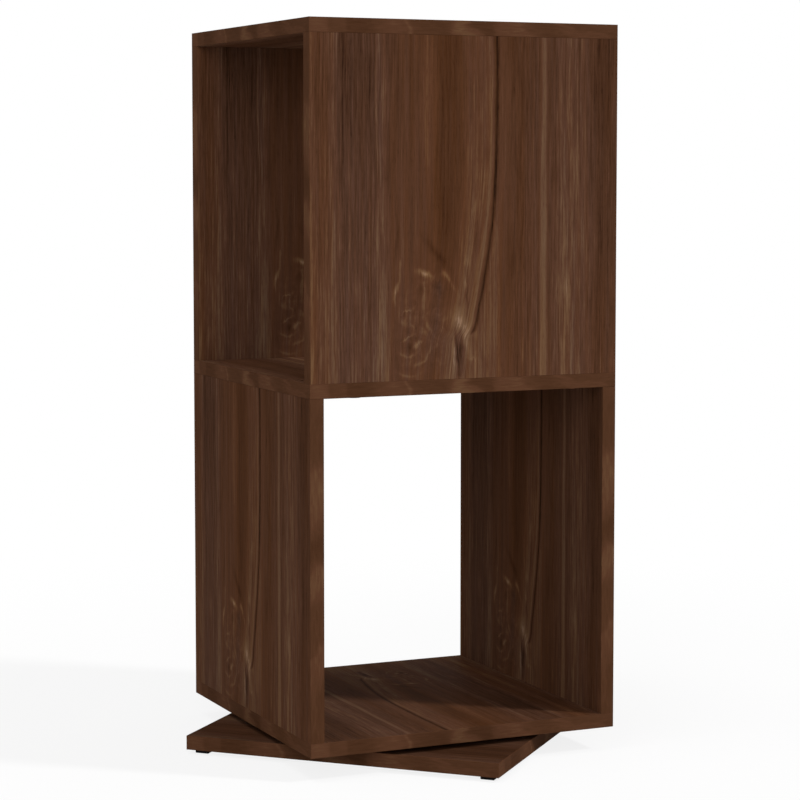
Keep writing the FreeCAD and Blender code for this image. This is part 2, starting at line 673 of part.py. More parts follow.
# Cam fittings of the top panel: a bolt in its underside, gripped by a round cam in the upright's inner face

camCentre = "(%s - cam_reach)" % topBottom
camFace = "(cabinet_depth / 2 - board_thickness)"
boltHeadBottom = "(%s - cam_bolt_head_length / 2)" % camCentre
camPlace = {"x": fixingX, "y": faceJointY}
bolt = fuse("CamBolt", [
    cylinder("CamBoltThread", "cam_bolt_thread_diameter", "cam_bolt_thread_length", z=topBottom, **camPlace),
    cylinder("CamBoltNeck", "cam_bolt_neck_diameter", "cam_reach", z=camCentre, **camPlace),
    cylinder("CamBoltHead", "cam_bolt_head_diameter", "cam_bolt_head_length", z=boltHeadBottom, **camPlace),
])
node(fourfold("CamBolts", bolt), "top_cam_bolts")

camBody = cylinder("CamBody", "cam_diameter", "cam_height", x=fixingX, y=camFace, z=camCentre,
                   turn=str(-quarterTurn), axis=(1, 0, 0))
camMouth = cylinder("CamMouth", "cam_mouth_diameter", "cam_diameter + cut_overrun",
                    z="%s - cam_mouth_diameter / 2" % camCentre, **camPlace)
camSlots = []
for word, across, rise in (("Across", "cam_slot_length", "cam_slot_width"),
                           ("Upright", "cam_slot_width", "cam_slot_length")):
    camSlots.append(block("CamSlot" + word, across, "cam_slot_depth + cut_overrun", rise,
                          x=fixingX + " - %s / 2" % across, y=camFace + " - cut_overrun",
                          z=camCentre + " - %s / 2" % rise))
cam = cut("CamLock", camBody, fuse("CamCuts", [camMouth] + camSlots))
node(fourfold("CamLocks", cam), "top_cam_locks")

camCover = cylinder("CamCover", "cam_cover_diameter", "cover_thickness", x=fixingX,
                    y=camFace + " - cover_thickness", z=camCentre, turn=str(-quarterTurn), axis=(1, 0, 0))
node(fourfold("CamCovers", camCover), "top_cam_covers")

# Every object is sound before anything is written
doc.recompute()
for thing in doc.Objects:
    if "Invalid" in thing.State or "Error" in thing.State:
        raise ValueError("%s failed: %s" % (thing.Name, thing.State))
for thing in nodes:
    if thing.Shape.isNull() or not thing.Shape.isValid() or not thing.Shape.Solids:
        raise ValueError("%s has no sound solid" % thing.Label)

os.makedirs("parts", exist_ok=True)
for thing in nodes:
    thing.Shape.exportStep("parts/%s.step" % thing.Label)
    box = thing.Shape.BoundBox
    print("%-26s %2d solids  %9.1f mm3  x %.2f..%.2f  y %.2f..%.2f  z %.2f..%.2f" % (
        thing.Label, len(thing.Shape.Solids), thing.Shape.Volume,
        box.XMin, box.XMax, box.YMin, box.YMax, box.ZMin, box.ZMax))
print(len(nodes), "nodes")
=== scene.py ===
import math
from functools import partial

import bmesh
import bpy
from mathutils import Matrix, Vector


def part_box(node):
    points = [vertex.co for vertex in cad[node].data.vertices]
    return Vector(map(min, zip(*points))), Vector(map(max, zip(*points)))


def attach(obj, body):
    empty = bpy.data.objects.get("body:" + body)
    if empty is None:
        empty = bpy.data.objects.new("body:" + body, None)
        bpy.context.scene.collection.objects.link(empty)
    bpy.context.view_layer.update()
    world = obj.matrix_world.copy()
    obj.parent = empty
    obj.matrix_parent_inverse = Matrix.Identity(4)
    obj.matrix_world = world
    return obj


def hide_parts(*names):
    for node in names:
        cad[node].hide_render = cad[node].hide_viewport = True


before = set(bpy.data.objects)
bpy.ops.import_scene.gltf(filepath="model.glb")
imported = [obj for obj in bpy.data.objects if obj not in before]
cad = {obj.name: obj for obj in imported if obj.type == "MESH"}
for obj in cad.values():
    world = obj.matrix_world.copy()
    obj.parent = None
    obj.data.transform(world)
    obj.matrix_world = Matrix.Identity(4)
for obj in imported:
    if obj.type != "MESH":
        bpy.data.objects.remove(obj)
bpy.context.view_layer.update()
millimetre = 0.001
perMetre = 1 / millimetre
print("frame loaded,", len(cad), "nodes")


# sRGB hex colour to linear
def linear(hexText):
    parts = [int(hexText[i:i + 2], 16) / 255 for i in (1, 3, 5)]
    return [c / 12.92 if c <= 0.04045 else ((c + 0.055) / 1.055) ** 2.4 for c in parts] + [1.0]


# Adds one node. An input takes a value, a socket or a node (its first output), in order or by name;
# stops are a colour ramp's hex colours or a curve's points.
def addNode(tree, kind, inputs=(), stops=(), **settings):
    node = tree.nodes.new(kind)
    for name, value in settings.items():
        setattr(node, name, value)
    for key, value in inputs.items() if isinstance(inputs, dict) else enumerate(inputs):
        source = value.outputs[0] if isinstance(value, bpy.types.Node) else value
        if isinstance(source, bpy.types.NodeSocket):
            tree.links.new(source, node.inputs[key])
        else:
            node.inputs[key].default_value = source
    if stops and kind == "ShaderNodeValToRGB":
        marks = node.color_ramp.elements
        marks[0].position, marks[1].position = stops[0][0], stops[-1][0]
        for place, _ in stops[1:-1]:
            marks.new(place)
        for mark, (_, hexText) in zip(marks, stops):
            mark.color = linear(hexText)
    elif stops:
        node.mapping.extend = "HORIZONTAL"
        points = node.mapping.curves[0].points
        points[0].location, points[1].location = stops[0], stops[-1]
        for stop in stops[1:-1]:
            points.new(*stop)
        node.mapping.update()
    return node


def newMaterial(name):
    material = bpy.data.materials.new(name)
    material.use_nodes = True
    material.node_tree.nodes.clear()
    return material


def dress(material, *names):
    for name in names:
        for slot in cad[name].material_slots:
            slot.material = material


# Camera: a long lens from the front left, as high as the upper bay
cameraView = {
    "place": (-1.08115, -2.38547, 0.61600),
    "yaw": 24.428,      # degrees to the right of +Y
    "pitch": 4.380,     # degrees down
    "lens": 109.614,
    "sensor": 36.0,
    "shift": -0.06,
}
cameraData = bpy.data.cameras.new("productCamera")
cameraData.sensor_width = cameraView["sensor"]
cameraData.lens = cameraView["lens"]
cameraData.shift_y = cameraView["shift"]
camera = bpy.data.objects.new("productCamera", cameraData)
camera.location = cameraView["place"]
camera.rotation_euler = (math.radians(90 - cameraView["pitch"]), 0, -math.radians(cameraView["yaw"]))
bpy.context.scene.collection.objects.link(camera)
bpy.context.scene.camera = camera
bpy.context.scene.view_settings.view_transform = "Standard"
print("camera placed")

# Studio: a white surround, a key lamp high up at the front right, a broad one, lower, at the front left
# and a weaker one high up at the left
studio = {
    "surround": 0.31,
    # azimuth in degrees to the right of the front, elevation, strength and degrees across
    "lamps": {
        "keyLamp": (50, 47, 1.56, 5),
        "broadLamp": (-34, 13, 1.54, 52),
        "sideLamp": (-82, 73, 0.56, 20),
    },
    "lampDistance": 3.0,
    "floorReach": 8.0,
    "floorWhite": "#DCDBD9",
    "floorShade": "#6E6E6E",  # how strongly light and shadow show on the floor
    "floorLift": 0.84,
    "fadeFrom": 0.5,          # the floor goes over into the white surround between these distances
    "fadeTo": 1.3,
}


# 1 where the camera sees a surface itself, in a reflection or through glass
def seenDirectly(add):
    path = add("ShaderNodeLightPath")
    shiny = add("ShaderNodeMath", [path.outputs["Is Glossy Ray"], path.outputs["Is Transmission Ray"]],
                operation="MAXIMUM")
    return add("ShaderNodeMath", [path.outputs["Is Camera Ray"], shiny], operation="MAXIMUM")


world = bpy.data.worlds.new("whiteSurround")
world.use_nodes = True
world.node_tree.nodes.clear()
bpy.context.scene.world = world
add = partial(addNode, world.node_tree)
dimWhite = add("ShaderNodeBackground", {"Color": linear("#FFFFFF"), "Strength": studio["surround"]})
backdrop = add("ShaderNodeBackground", {"Color": linear("#FFFFFF"), "Strength": 1.0})
surround = add("ShaderNodeMixShader", [seenDirectly(add), dimWhite, backdrop])
add("ShaderNodeOutputWorld", {"Surface": surround})

for name, (azimuth, elevation, strength, across) in studio["lamps"].items():
    lampData = bpy.data.lights.new(name, "SUN")
    lampData.energy = strength
    lampData.angle = math.radians(across)
    turn, rise = math.radians(azimuth), math.radians(elevation)
    outwards = math.cos(rise)
    towardsLamp = Vector((outwards * math.sin(turn), -outwards * math.cos(turn), math.sin(rise)))
    lamp = bpy.data.objects.new(name, lampData)
    lamp.location = studio["lampDistance"] * towardsLamp
    lamp.rotation_euler = towardsLamp.to_track_quat("Z", "Y").to_euler()
    bpy.context.scene.collection.objects.link(lamp)

# Painted studio floor: matt white that keeps the shadow and has no edge
floorPaint = newMaterial("paintedFloorMatt")
add = partial(addNode, floorPaint.node_tree)
mattPaint = add("ShaderNodeBsdfDiffuse", {"Color": linear(studio["floorWhite"])})
shadowPaint = add("ShaderNodeBsdfDiffuse", {"Color": linear(studio["floorShade"])})
lift = add("ShaderNodeEmission", {"Color": linear("#FFFFFF"), "Strength": studio["floorLift"]})
openWhite = add("ShaderNodeEmission", {"Color": linear("#FFFFFF"), "Strength": 1.0})
nearby = add("ShaderNodeAddShader", [shadowPaint, lift])
floorPlace = add("ShaderNodeTexCoord").outputs["Object"]
distance = add("ShaderNodeVectorMath", [floorPlace], operation="LENGTH").outputs["Value"]
fade = add("ShaderNodeMapRange", {"Value": distance, "From Min": studio["fadeFrom"],
                                  "From Max": studio["fadeTo"]}, interpolation_type="SMOOTHSTEP")
shownFloor = add("ShaderNodeMixShader", [fade, nearby, openWhite])
floorLook = add("ShaderNodeMixShader", [seenDirectly(add), mattPaint, shownFloor])
add("ShaderNodeOutputMaterial", {"Surface": floorLook})
reach = studio["floorReach"]
floorCorners = [(-reach, -reach, 0), (reach, -reach, 0), (reach, reach, 0), (-reach, reach, 0)]
floorMesh = bpy.data.meshes.new("studioFloor")
floorMesh.from_pydata(floorCorners, [], [(0, 1, 2, 3)])
floorMesh.materials.append(floorPaint)
floor = bpy.data.objects.new("studioFloor", floorMesh)
bpy.context.scene.collection.objects.link(floor)
print("studio lit")

# Oak figure of the printed foil, which is the same on every board. Places are millimetres from the
# middle of the printed sheet, across the grain and then along it; tones run from 0, the darkest line,
# to 1, the lightest fleck.
oakPrint = {
    "sheet": 345.0,
    "tones": [(0.00, "#23150C"), (0.20, "#41281A"), (0.40, "#4D3223"), (0.55, "#563829"),
              (0.70, "#634733"), (0.85, "#6E523D"), (1.00, "#8E705B")],
    # stripes that run the whole length
    "stripes": [
        # the light stripes at -172 and -168, at the sheet's left edge, are a painted highlight along the
        # left corner of the upper front panel
        (-172, 0.58), (-168, 0.56), (-163, 0.46), (-146, 0.56), (-139, 0.39), (-130, 0.44),
        (-118, 0.46), (-106, 0.42), (-97, 0.58), (-84, 0.45), (-70, 0.49), (-58, 0.45),
        (-46, 0.48), (-38, 0.46), (-26, 0.36), (-14, 0.40), (-6, 0.45), (2, 0.56),
        (22, 0.58), (28, 0.59), (42, 0.49), (50, 0.45), (55, 0.38), (66, 0.42),
        (82.5, 0.46), (84.5, 0.70), (89.5, 0.70), (92, 0.43), (106, 0.55), (116, 0.58),
        (130, 0.52), (143, 0.46), (150, 0.33), (160, 0.32), (167, 0.40), (172, 0.37)],
    # where the print is more grey (0) or more red (1)
    "redness": [
        (-172, 0.65), (-152, 0.50), (-138, 0.08), (-100, 0.10), (-82, 0.50), (-60, 0.60),
        (-22, 0.90), (0, 0.66), (24, 0.50), (42, 0.66), (75, 0.38), (88, 0.28),
        (106, 0.24), (136, 0.26), (152, 0.38), (172, 0.42)],
    "greyTint": (0.965, 1.028, 1.13),
    "redTint": (1.07, 0.98, 0.78),
    "hueDrift": 1.3,
    # how strongly the streaks show
    "liveliness": [
        (-172, 1.1), (-100, 1.1), (-84, 0.8), (-62, 0.6), (-20, 0.6), (10, 0.8), (24, 0.7), (45, 0.6),
        (54, 1.0), (78, 1.0), (85, 0.5), (90, 0.5), (98, 1.1), (140, 1.1), (172, 0.8)],
    # soft light and dark places: across, along, half width, half length, lean, tone
    "patches": [
        (-126, 135, 17, 60, 0.0, -0.08), (-45, 108, 8, 66, 0.03, 0.16), (-24, -8, 13, 45, 0.0, -0.08),
        (-37, -43, 5, 14, -0.8, -0.21), (121, 40, 5, 34, -0.06, 0.12), (114, -88, 4, 18, 0.0, 0.15),
        (110, -30, 4, 50, 0.03, 0.06), (50, -60, 4, 34, 0.0, -0.10), (-93, -130, 7, 50, 0.0, 0.10),
        (-78, -138, 4, 36, 0.0, -0.10), (-139, -20, 1.2, 56, 0.0, 0.14), (110, -160, 50, 80, 0.0, -0.05),
        (43, -95, 10, 90, 0.0, -0.08), (19, -160, 9, 14, 0.0, -0.09), (-26, -112, 5, 9, 0.0, 0.11),
        # left of the split
        (4, -38, 5, 20, 0.10, 0.14), (1, -54, 4, 5, 0.0, 0.16), (9, 0, 3, 11, 0.2, 0.16),
        (11, -32, 2, 24, 0.14, -0.14), (-2, -76, 1.7, 7, 0.0, 0.24), (0.5, -87, 1.2, 13, 0.06, -0.34),
        (-10, -109, 8, 10, 0.4, 0.18), (-5, -120, 8, 10, -0.35, 0.27), (-20, -104, 6, 12, 0.5, 0.08),
        # the slit below it
        (-7.5, -146, 3.4, 16, 0.0, -0.58), (-11.5, -149, 1.5, 21, -0.08, -0.46),
        (-15.5, -147, 1.8, 13, 0.0, 0.22), (-9.5, -169, 2, 6, 0.0, -0.26), (1, -141, 4, 14, -0.35, 0.16),
        (13, -142, 4, 14, -0.45, -0.10), (6, -153, 5, 1.6, -1.0, 0.14),
        # flecks and bent grain
        (-47, -66, 7, 5, -1.5, 0.42), (-25, -67, 3.5, 4.5, -0.6, 0.36), (-18, -76, 2, 8, -0.6, 0.18),
        (-32, -81, 4, 6, -0.4, -0.12), (-78, -34, 1.8, 20, 0.16, -0.17), (-75, -62, 1.1, 14, 0.12, 0.18),
        (-79, -81, 2, 7, 0.2, 0.36), (-80, -92, 1.3, 7, 0.0, 0.26), (-49, -88, 1.5, 13, 0.05, 0.20),
        (-32, -124, 9, 38, 0.0, 0.05), (-67, -102, 2, 2.6, 2.0, 0.24), (-71, -115, 2.2, 5, 0.0, 0.18),
        (-63, -110, 1.4, 9, 0.05, 0.20), (-56, -106, 1.3, 7, 0.1, 0.12), (-37, -104, 1.6, 5, 0.5, 0.18),
        (-44, -118, 2, 7, -0.4, 0.18),
        # the knot
        (-63, -139, 3.5, 6, 0.0, -0.30), (-57, -139, 1.8, 4, 0.6, 0.24), (-54, -135, 3, 1.8, 1.4, 0.26),
        (-67, -130.5, 2.4, 2.6, 2.2, 0.28)],
    # the same for redness
    "greyPlaces": [
        (-48, -132, 24, 46, 0.0, -0.40), (-32, -128, 9, 40, 0.0, -0.45), (-9, -148, 6, 22, 0.0, -0.60),
        (-32, -81, 6, 8, 0.0, -0.60)],
    # and for the crowded grain round the knot
    "swirlPlaces": [
        (-60, -126, 16, 40, 0.0, 0.70), (-36, -74, 20, 14, 0.0, 0.50), (-32, -126, 10, 40, 0.0, 0.55),
        (-8, -118, 9, 16, 0.0, 0.30)],
    # bows of the knot: its middle, radius, half width, the middle and half size of what shows, and tone
    "bows": [
        (-61, -138, 20.5, 1.9, -46, -147, 15, 20, 0.24), (-61, -138, 31, 1.7, -68, -168, 11, 7, 0.18),
        (-66, -137, 12, 1.5, -64, -148, 12, 6, 0.20), (-61, -138, 26, 1.4, -38, -136, 9, 20, 0.12)],
    # the long split from its foot to its head (along, across); below its end the grain still parts there
    "split": [
        (-172, -3.0), (-150, 0.0), (-129, 3.5), (-125, 7.0), (-100, 14.0), (-65, 21.0), (-20, 28.0),
        (7, 30.5), (67, 32.6), (173, 32.8)],
    "splitTop": 32.8,
    "splitFoot": -129.0,
    "splitFade": 4.0,
    "splitWidth": 2.7,
    "splitTone": -0.50,
    "splitEdge": (-6.0, 4.0, 0.09),      # the lighter grain on its left: place, half width and tone
    "splitPull": 42.0,                   # how far to the left the grain follows it
    # grain: width and length of what is seen, seed and detail of its noise
    "bands": (6.0, 320.0, 11.0, 2.0),
    "streaks": (2.3, 70.0, 23.0, 2.0),
    "fibres": (1.1, 22.0, 37.0, 2.0),
    "threads": (1.7, 300.0, 47.0, 1.0),
    "pores": (0.7, 9.0, 31.0, 1.0),      # drawn about twice as wide as real pores, so that they show
    "hues": (5.0, 200.0, 61.0, 2.0),
    "swirl": (5.0, 8.0, 83.0, 3.0),
    "ripple": (7.0, 15.0, 71.0, 3.0),
    "wander": (45.0, 120.0, 3.0, 2.0),
    "seedStep": 2.3,                     # spreads the seeds along the grain as well
    # how much tone each kind of grain adds
    "bandTone": 0.26,
    "streakTone": 0.70,
    "fibreTone": 0.42,
    "threadTones": [(0.10, 0.22, 0.13), (-0.10, -0.22, -0.08)],     # noise from, noise to, tone
    "poreTone": (0.06, 0.18, -0.09),
    "paleFoot": -0.0004,                 # the tone grows lighter towards the foot of the sheet
    # how far grain pushes a line or an edge aside
    "wanderReach": 4.0,
    "patchAcross": (5.0, 2.0),           # by ripple and fibres
    "patchAlong": (-9.0, 8.0),           # by ripple and streaks
    "splitWaver": (2.0, 2.0),            # by fibres and ripple
    "bowWaver": (7.0, -7.0),             # across and along, by ripple
    "swirlWaver": 16.0,
    "gloss": 0.55,
    "glossSpread": 0.16,
    "sheen": 0.0015,                     # next to none
    "refraction": 1.5,
    "emboss": 0.00006,                   # in metres
    "embossStrength": 0.5,
}
sheet = oakPrint["sheet"]
halfSheet = sheet / 2


# A soft patch: 1 in its middle, falling off over its half width and half length
def makePatchGroup():
    tree = bpy.data.node_groups.new("softPatch", "ShaderNodeTree")
    add = partial(addNode, tree)
    for name in ("Across", "Along", "Centre Across", "Centre Along", "Half Width", "Half Length", "Lean"):
        tree.interface.new_socket(name, in_out="INPUT", socket_type="NodeSocketFloat")
    tree.interface.new_socket("Amount", in_out="OUTPUT", socket_type="NodeSocketFloat")
    given = add("NodeGroupInput").outputs
    up = add("ShaderNodeMath", [given["Along"], given["Centre Along"]], operation="SUBTRACT")
    middle = add("ShaderNodeMath", [up, given["Lean"], given["Centre Across"]], operation="MULTIPLY_ADD")
    aside = add("ShaderNodeMath", [given["Across"], middle], operation="SUBTRACT")
    wide = add("ShaderNodeMath", [aside, given["Half Width"]], operation="DIVIDE")
    tall = add("ShaderNodeMath", [up, given["Half Length"]], operation="DIVIDE")
    tallSquare = add("ShaderNodeMath", [tall, tall], operation="MULTIPLY")
    square = add("ShaderNodeMath", [wide, wide, tallSquare], operation="MULTIPLY_ADD")
    fall = add("ShaderNodeMath", [square, -1.0], operation="MULTIPLY")
    add("NodeGroupOutput", [add("ShaderNodeMath", [fall], operation="EXPONENT")])
    return tree


# Printed oak foil: long streaks, pores, a split and a knot, from a place on the sheet in millimetres
def makeOakGroup(patchGroup):
    tree = bpy.data.node_groups.new("printedOakFigure", "ShaderNodeTree")
    add = partial(addNode, tree)
    for name in ("Across", "Along"):
        tree.interface.new_socket(name, in_out="INPUT", socket_type="NodeSocketFloat")
    tree.interface.new_socket("Color", in_out="OUTPUT", socket_type="NodeSocketColor")
    tree.interface.new_socket("Roughness", in_out="OUTPUT", socket_type="NodeSocketFloat")
    tree.interface.new_socket("Height", in_out="OUTPUT", socket_type="NodeSocketFloat")
    given = add("NodeGroupInput").outputs

    # past its side edges the sheet goes on as its mirror image
    fromEdge = add("ShaderNodeMath", [given["Across"], halfSheet], operation="ADD")
    inside = add("ShaderNodeMath", [fromEdge, sheet], operation="PINGPONG")
    plainAcross = add("ShaderNodeMath", [inside, halfSheet], operation="SUBTRACT")
    along = given["Along"]

    # noise stretched to a width across the grain and a length along it, from -0.5 to 0.5
    def grain(sideways, kind):
        width, length, seed, detail = oakPrint[kind]
        flat = add("ShaderNodeCombineXYZ", [sideways, along, 0.0])
        start = (seed, oakPrint["seedStep"] * seed, seed)
        place = add("ShaderNodeVectorMath", [flat, (1 / width, 1 / length, 0.0), start],
                    operation="MULTIPLY_ADD")
        noise = add("ShaderNodeTexNoise", {"Vector": place, "Scale": 1.0, "Detail": detail})
        return add("ShaderNodeMath", [noise, 0.5], operation="SUBTRACT")

    # adds a pattern to a tone or a place, where a mask lets it show
    def mixIn(tone, pattern, strength, mask=None):
        if mask is not None:
            pattern = add("ShaderNodeMath", [pattern, mask], operation="MULTIPLY")
        return add("ShaderNodeMath", [pattern, strength, tone], operation="MULTIPLY_ADD")

    def patch(*place):
        return add("ShaderNodeGroup", place, node_tree=patchGroup)

    # value read from a curve that is laid over the sheet
    def overSheet(place, pairs):
        share = add("ShaderNodeMath", [place, 1 / sheet, 0.5], operation="MULTIPLY_ADD")
        stops = [(at / sheet + 0.5, value) for at, value in pairs]
        return add("ShaderNodeFloatCurve", {"Value": share}, stops)

    across = mixIn(plainAcross, grain(plainAcross, "wander"), oakPrint["wanderReach"])
    splitShare = overSheet(along, [(at, side / sheet + 0.5) for at, side in oakPrint["split"]])
    splitAcross = add("ShaderNodeMath", [splitShare, sheet, -halfSheet], operation="MULTIPLY_ADD")
    fromSplit = add("ShaderNodeMath", [across, splitAcross], operation="SUBTRACT")
    bend = add("ShaderNodeMath", [splitAcross, oakPrint["splitTop"]], operation="SUBTRACT")
    leftOfIt = add("ShaderNodeMath", [fromSplit, 0.0], operation="LESS_THAN")
    nearIt = patch(fromSplit, 0, 0, 0, oakPrint["splitPull"], 1, 0)
    pull = add("ShaderNodeMath", [nearIt, leftOfIt], operation="MULTIPLY")
    pulledBy = add("ShaderNodeMath", [pull, bend], operation="MULTIPLY")
    followed = add("ShaderNodeMath", [across, pulledBy], operation="SUBTRACT")

    # stripes and streaks
    tone = overSheet(followed, oakPrint["stripes"])
    streaks = grain(followed, "streaks")
    fibres = grain(followed, "fibres")
    liveliness = overSheet(followed, oakPrint["liveliness"])
    tone = mixIn(tone, grain(followed, "bands"), oakPrint["bandTone"])
    tone = mixIn(tone, streaks, oakPrint["streakTone"], liveliness)
    tone = mixIn(tone, fibres, oakPrint["fibreTone"], liveliness)
    threads = grain(followed, "threads")
    for start, full, strength in oakPrint["threadTones"]:
        thread = add("ShaderNodeMapRange", {"Value": threads, "From Min": start, "From Max": full},
                     interpolation_type="SMOOTHSTEP")
        tone = mixIn(tone, thread, strength, liveliness)
    tone = mixIn(tone, along, oakPrint["paleFoot"])

    # patches with uneven edges
    ripple = grain(across, "ripple")
    byRipple, byFibres = oakPrint["patchAcross"]
    uneven = mixIn(mixIn(across, ripple, byRipple), fibres, byFibres)
    byRipple, byStreaks = oakPrint["patchAlong"]
    unevenAlong = mixIn(mixIn(along, ripple, byRipple), streaks, byStreaks)
    for *place, strength in oakPrint["patches"]:
        tone = mixIn(tone, patch(uneven, unevenAlong, *place), strength)

    # the split, and the lighter grain along it
    byFibres, byRipple = oakPrint["splitWaver"]
    splitSide = mixIn(mixIn(fromSplit, fibres, byFibres), ripple, byRipple)
    shown = add("ShaderNodeMapRange", {"Value": along, "From Min": oakPrint["splitFoot"],
                                       "From Max": oakPrint["splitFoot"] + oakPrint["splitFade"]})
    line = patch(splitSide, 0, 0, 0, oakPrint["splitWidth"], 1, 0)
    tone = mixIn(tone, line, oakPrint["splitTone"], shown)
    edgePlace, edgeWidth, edgeTone = oakPrint["splitEdge"]
    tone = mixIn(tone, patch(splitSide, 0, edgePlace, 0, edgeWidth, 1, 0), edgeTone)

    # bows round the knot
    waverAcross, waverAlong = oakPrint["bowWaver"]
    bowAcross = mixIn(across, ripple, waverAcross)
    bowAlong = mixIn(along, ripple, waverAlong)
    flat = add("ShaderNodeCombineXYZ", [bowAcross, bowAlong, 0.0])
    for knotAcross, knotAlong, radius, width, *place, strength in oakPrint["bows"]:
        fromKnot = add("ShaderNodeVectorMath", [flat, (knotAcross, knotAlong, 0.0)], operation="DISTANCE")
        bow = patch(fromKnot.outputs["Value"], 0, radius, 0, width, 1, 0)
        tone = mixIn(tone, bow, strength, patch(across, along, *place, 0))

    # crowded grain
    folds = grain(mixIn(across, ripple, oakPrint["swirlWaver"]), "swirl")
    for *place, strength in oakPrint["swirlPlaces"]:
        tone = mixIn(tone, folds, strength, patch(across, along, *place))

    pores = grain(followed, "pores")
    start, full, strength = oakPrint["poreTone"]
    poreMarks = add("ShaderNodeMapRange", {"Value": pores, "From Min": start, "From Max": full})
    tone = mixIn(tone, poreMarks, strength)
    colour = add("ShaderNodeValToRGB", [tone], oakPrint["tones"])
    redness = overSheet(followed, oakPrint["redness"])
    redness = mixIn(redness, grain(followed, "hues"), oakPrint["hueDrift"])
    for *place, strength in oakPrint["greyPlaces"]:
        redness = mixIn(redness, patch(uneven, unevenAlong, *place), strength)
    tintSpan = [red - grey for red, grey in zip(oakPrint["redTint"], oakPrint["greyTint"])]
    tint = add("ShaderNodeVectorMath", [redness, tintSpan, oakPrint["greyTint"]], operation="MULTIPLY_ADD")
    tinted = add("ShaderNodeVectorMath", [colour, tint], operation="MULTIPLY")
    gloss = mixIn(oakPrint["gloss"], streaks, oakPrint["glossSpread"])
    height = add("ShaderNodeMath", [tone, poreMarks], operation="SUBTRACT")
    add("NodeGroupOutput", [tinted, gloss, height])
    return tree


oakGroup = makeOakGroup(makePatchGroup())


# A board's foil: melamine paper pressed on with a matt plate, so a low sheen over the print
def foilMaterial(name, across, along, paintedLightness=1.0):
    material = newMaterial(name)
    add = partial(addNode, material.node_tree)
    place = add("ShaderNodeTexCoord").outputs["Object"]
    places = []
    for direction, start in (across, along):
        run = add("ShaderNodeVectorMath", [place, direction], operation="DOT_PRODUCT").outputs["Value"]
        places.append(add("ShaderNodeMath", [run, start], operation="ADD"))
    figure = add("ShaderNodeGroup", places, node_tree=oakGroup)
    # paintedLightness above 1 is painted light, below 1 painted shade
    colour = add("ShaderNodeVectorMath", [figure.outputs["Color"], [paintedLightness] * 3], operation="MULTIPLY")
    relief = add("ShaderNodeBump", {"Strength": oakPrint["embossStrength"], "Distance": oakPrint["emboss"],
                                    "Height": figure.outputs["Height"]})
    foil = add("ShaderNodeBsdfPrincipled", {
        "Base Color": colour, "Roughness": figure.outputs["Roughness"], "IOR": oakPrint["refraction"],
        "Specular IOR Level": oakPrint["sheen"], "Normal": relief})
    add("ShaderNodeOutputMaterial", {"Surface": foil})
    return material


# Height of a node's middle, in millimetres
def middleHeight(node):
    low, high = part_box(node)
    return (low.z + high.z) / 2 * perMetre


low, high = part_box("middle_shelf_edge_bands")
sideStretch = sheet / ((high.y - low.y) * perMetre)
upperMiddle = middleHeight("upper_front_panel")
lowerMiddle = middleHeight("lower_left_panel")
# on lying boards the sheet is turned half round and printed smaller, made paler in the cabinet as painted
# light and darker on the base as painted shade
lying = {
    "scale": 0.765,
    "aside": 2.9,
    "paintedLightInCabinet": 1.18,    # painted light: paler, for the light that falls on upward faces
    "paintedShadeOnBase": 0.86,       # painted shade: darker, for the cabinet's shadow over the base plate
}
lyingRun = perMetre / lying["scale"]
lyingAside = lying["aside"] / lying["scale"]
slant = math.sqrt(0.5)    # the base plate stands turned by 45 degrees
slantRun = lyingRun * slant
slantStep = perMetre * slant
dress(foilMaterial("oakFoilUpperPanels", ((perMetre, 0, 0), 0.0), ((0, 0, perMetre), -upperMiddle)),
      "upper_front_panel", "upper_back_panel", "top_cam_covers")
dress(foilMaterial("oakFoilLowerPanels", ((0, -perMetre * sideStretch, 0), 0.0),
                   ((0, 0, perMetre), -lowerMiddle)),
      "lower_left_panel", "lower_right_panel")
dress(foilMaterial("oakFoilLyingBoards", ((-lyingRun, 0, 0), lyingAside), ((0, -lyingRun, 0), 0.0),
                   lying["paintedLightInCabinet"]),
      "bottom_panel", "middle_shelf", "top_panel", "shelf_lower_covers", "shelf_upper_covers")
dress(foilMaterial("oakFoilBasePlate", ((-slantRun, -slantRun, 0), lyingAside),
                   ((slantRun, -slantRun, 0), 0.0), lying["paintedShadeOnBase"]),
      "base_plate")
print("boards dressed")

# Edge bands: strips of the oak print in which the figure looks blotchy, the same on all strips of a kind
edgeBand = {
    # tones along a lying strip from its left end, and down an upright strip
    "lyingRun": [
        (0.0, 0.52), (0.05, 0.56), (0.065, 0.42), (0.11, 0.42), (0.12, 0.32), (0.18, 0.32), (0.22, 0.46),
        (0.28, 0.52), (0.300, 0.48), (0.310, 0.60), (0.320, 0.43), (0.40, 0.36), (0.44, 0.40), (0.48, 0.62),
        (0.52, 0.54), (0.55, 0.30), (0.60, 0.48), (0.66, 0.56), (0.72, 0.44), (0.77, 0.36), (0.85, 0.50),
        (0.92, 0.40), (1.0, 0.44)],
    "uprightRun": [
        (0.0, 0.44), (0.10, 0.40), (0.18, 0.42), (0.22, 0.60), (0.32, 0.58), (0.38, 0.44), (0.44, 0.32),
        (0.48, 0.44), (0.52, 0.62), (0.57, 0.50), (0.64, 0.40), (0.73, 0.44), (0.75, 0.56), (0.80, 0.50),
        (0.84, 0.46), (0.92, 0.36), (1.0, 0.40)],
    "length": 345.0,
    # lean and warp grow from nothing at the strip's start
    "lean": 3.0,          # how far the figure leans along the strip for each millimetre of its width
    "warp": 130.0,        # how far the blotches push it along the strip
    # size along the strip and over its width, and the seed
    "blotch": (30.0, 9.0, 5.0),
    "streak": (14.0, 1.6, 9.0),
    "detail": 3.0,
    "distortion": 0.6,
    "streakTone": 0.34,
    "tint": (1.0, 1.0, 0.93),
    "gloss": 0.50,
    "glossSpread": 0.15,
    "embossStrength": 0.4,
}


